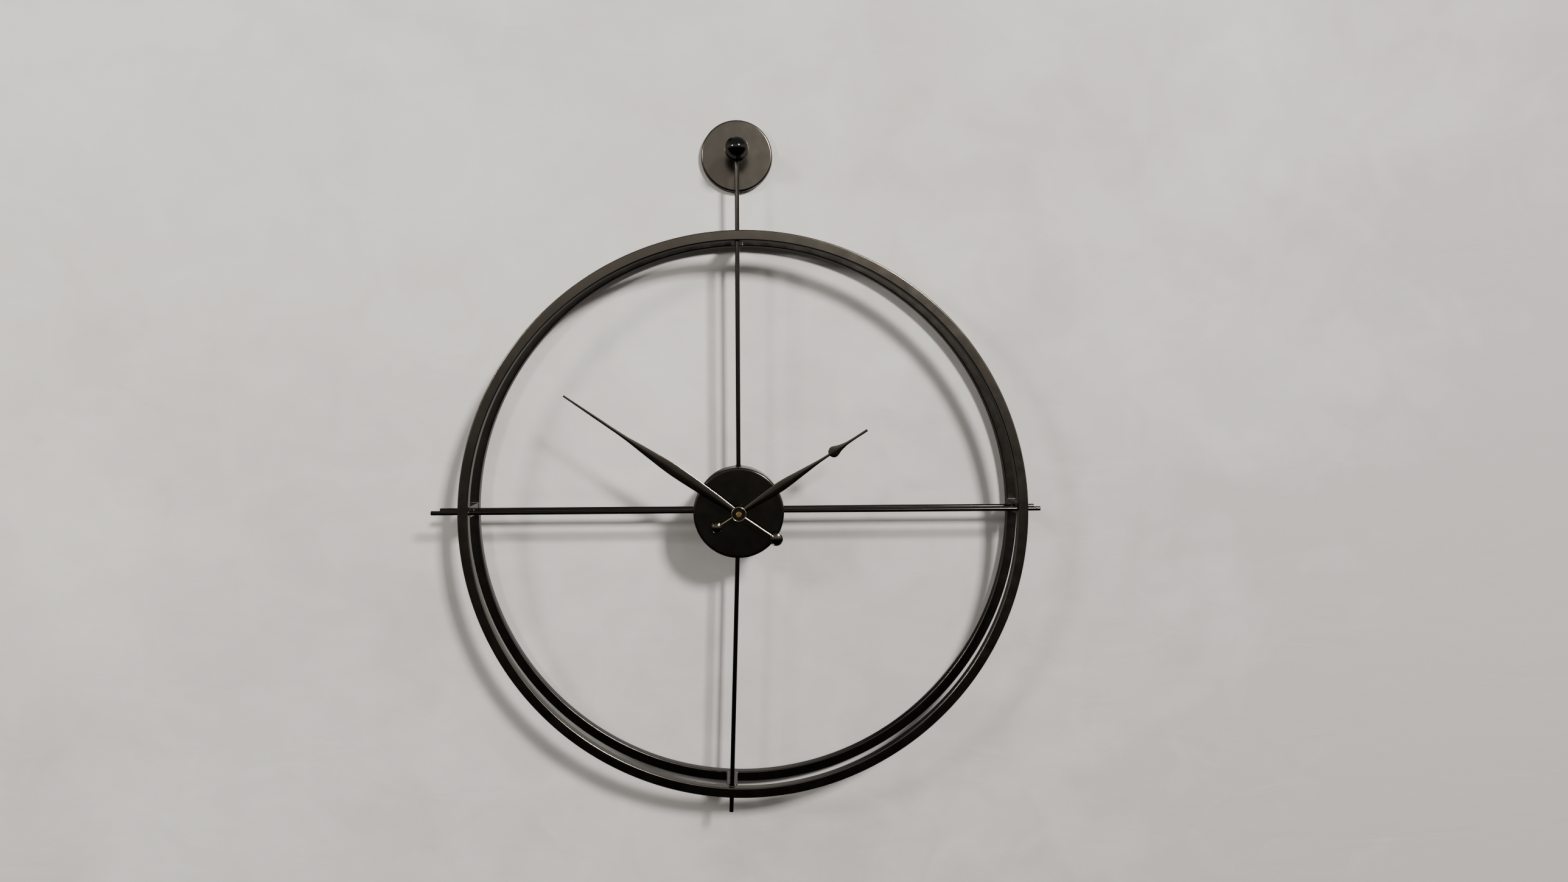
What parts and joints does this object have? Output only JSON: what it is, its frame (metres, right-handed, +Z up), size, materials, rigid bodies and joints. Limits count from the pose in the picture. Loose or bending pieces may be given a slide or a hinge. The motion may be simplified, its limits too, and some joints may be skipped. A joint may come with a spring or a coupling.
{
  "type": "pendulum wall clock",
  "caption": "Skeleton wall clock: two square-tube hoops joined by blocks, cross rods carrying a drum hub with spear and spade hands, hung by a rod from a ball-ended stem on a round canopy.",
  "frame": {"origin": "middle of the wall bracket's back face, which lies on the wall plane, midway between its two screw holes", "axes": "+Z up, +X to the right as seen from the front, -Y towards the viewer, +Y into the wall"},
  "size_m": [0.749, 0.1146, 0.8654],
  "materials": {
    "nickel": "polished black nickel plate",
    "rod_steel": "black nickel plated round bar",
    "hand_nickel": "polished black nickel plate on pressed steel",
    "bracket_steel": "zinc plated",
    "brass": "turned brass",
    "nut_steel": "plated hex nut",
    "rubber": "matte",
    "case_plastic": "fine spark texture",
    "plate_plastic": "natural acetal",
    "gear_plastic": "moulded acetal",
    "knob_plastic": "knurled",
    "magnet": "nickel coated ferrite",
    "stator_steel": "stamped lamination",
    "copper_wire": "enamelled copper winding",
    "board": "solder mask",
    "epoxy": "potting",
    "tin_can": "nickel plated",
    "battery_sleeve": "printed shrink sleeve with no lettering"
  },
  "bodies": {
    "wall_mount": {"wall_bracket": "bracket_steel", "canopy": "nickel", "stem": "nickel", "pivot_collar": "nickel", "ball_knob": "nickel", "stop_ring": "nickel"},
    "clock": {"bushing": "brass", "bushing_nut": "nut_steel", "bushing_washer": "brass", "chip": "epoxy", "circuit_board": "board", "coil": "copper_wire", "contact_minus": "tin_can", "contact_plus": "tin_can", "crystal": "tin_can", "front_ring": "nickel", "front_rod_bottom": "rod_steel", "front_rod_left": "rod_steel", "front_rod_right": "rod_steel", "front_rod_top": "rod_steel", "hub_drum": "nickel", "hub_face": "nickel", "middle_rod_bottom": "rod_steel", "middle_rod_left": "rod_steel", "middle_rod_right": "rod_steel", "movement_case": "case_plastic", "movement_cover": "case_plastic", "pivot_eye": "nickel", "rear_ring": "nickel", "rubber_washer": "rubber", "spacer_block_bottom": "nickel", "spacer_block_left": "nickel", "spacer_block_right": "nickel", "spacer_block_top": "nickel", "stator": "stator_steel", "suspension_rod": "rod_steel", "train_plate": "plate_plastic"},
    "minute": {"minute_arbor": "brass", "cannon_pinion": "gear_plastic", "minute_hand": "hand_nickel", "minute_collet": "hand_nickel", "hand_nut": "hand_nickel", "brass_tip": "brass"},
    "hour": {"hour_wheel": "gear_plastic", "hour_hand": "hand_nickel", "hour_collet": "hand_nickel"},
    "intermediate": {"intermediate_wheel": "gear_plastic", "setting_knob": "knob_plastic"},
    "centre_train": {"centre_wheel": "gear_plastic"},
    "third_train": {"third_wheel": "gear_plastic"},
    "fourth_train": {"fourth_wheel": "gear_plastic"},
    "fifth_train": {"fifth_wheel": "gear_plastic"},
    "rotor": {"rotor_pinion": "gear_plastic", "rotor_magnet": "magnet"},
    "battery": {"battery_cell": "battery_sleeve", "battery_cap": "tin_can"}
  },
  "joints": [
    {"name": "swing", "type": "hinge", "parent": "wall_mount", "child": "clock", "pos_m": [0, -0.042, 0], "axis": [0, 1, 0], "range_deg": [-30, 30]},
    {"name": "minute_turn", "type": "hinge", "parent": "clock", "child": "minute", "pos_m": [0, -0.09, -0.444], "axis": [0, 1, 0], "continuous": true},
    {"name": "hour_turn", "type": "hinge", "parent": "clock", "child": "hour", "pos_m": [0, -0.09, -0.444], "axis": [0, 1, 0], "continuous": true},
    {"name": "intermediate_turn", "type": "hinge", "parent": "clock", "child": "intermediate", "pos_m": [-0.00848, -0.09, -0.43551], "axis": [0, 1, 0], "continuous": true},
    {"name": "rotor_turn", "type": "hinge", "parent": "clock", "child": "rotor", "pos_m": [-0.00826, -0.09, -0.42807], "axis": [0, 1, 0], "continuous": true},
    {"name": "fifth_turn", "type": "hinge", "parent": "clock", "child": "fifth_train", "pos_m": [0.00011, -0.09, -0.4288], "axis": [0, 1, 0], "continuous": true},
    {"name": "fourth_turn", "type": "hinge", "parent": "clock", "child": "fourth_train", "pos_m": [0.00838, -0.09, -0.43026], "axis": [0, 1, 0], "continuous": true},
    {"name": "third_turn", "type": "hinge", "parent": "clock", "child": "third_train", "pos_m": [0.01015, -0.09, -0.44031], "axis": [0, 1, 0], "continuous": true},
    {"name": "centre_turn", "type": "hinge", "parent": "clock", "child": "centre_train", "pos_m": [0, -0.09, -0.444], "axis": [0, 1, 0], "continuous": true},
    {"name": "battery_out", "type": "slide", "parent": "clock", "child": "battery", "axis": [0, 1, 0], "range_m": [0, 0.035]}
  ],
  "couplings": [
    {"joint": "hour_turn", "follows": "minute_turn", "ratio": 0.083333},
    {"joint": "intermediate_turn", "follows": "minute_turn", "ratio": -0.33333},
    {"joint": "fifth_turn", "follows": "rotor_turn", "ratio": -0.16667},
    {"joint": "fourth_turn", "follows": "rotor_turn", "ratio": 0.033333},
    {"joint": "third_turn", "follows": "rotor_turn", "ratio": -0.0044444},
    {"joint": "centre_turn", "follows": "rotor_turn", "ratio": 0.00055556}
  ]
}
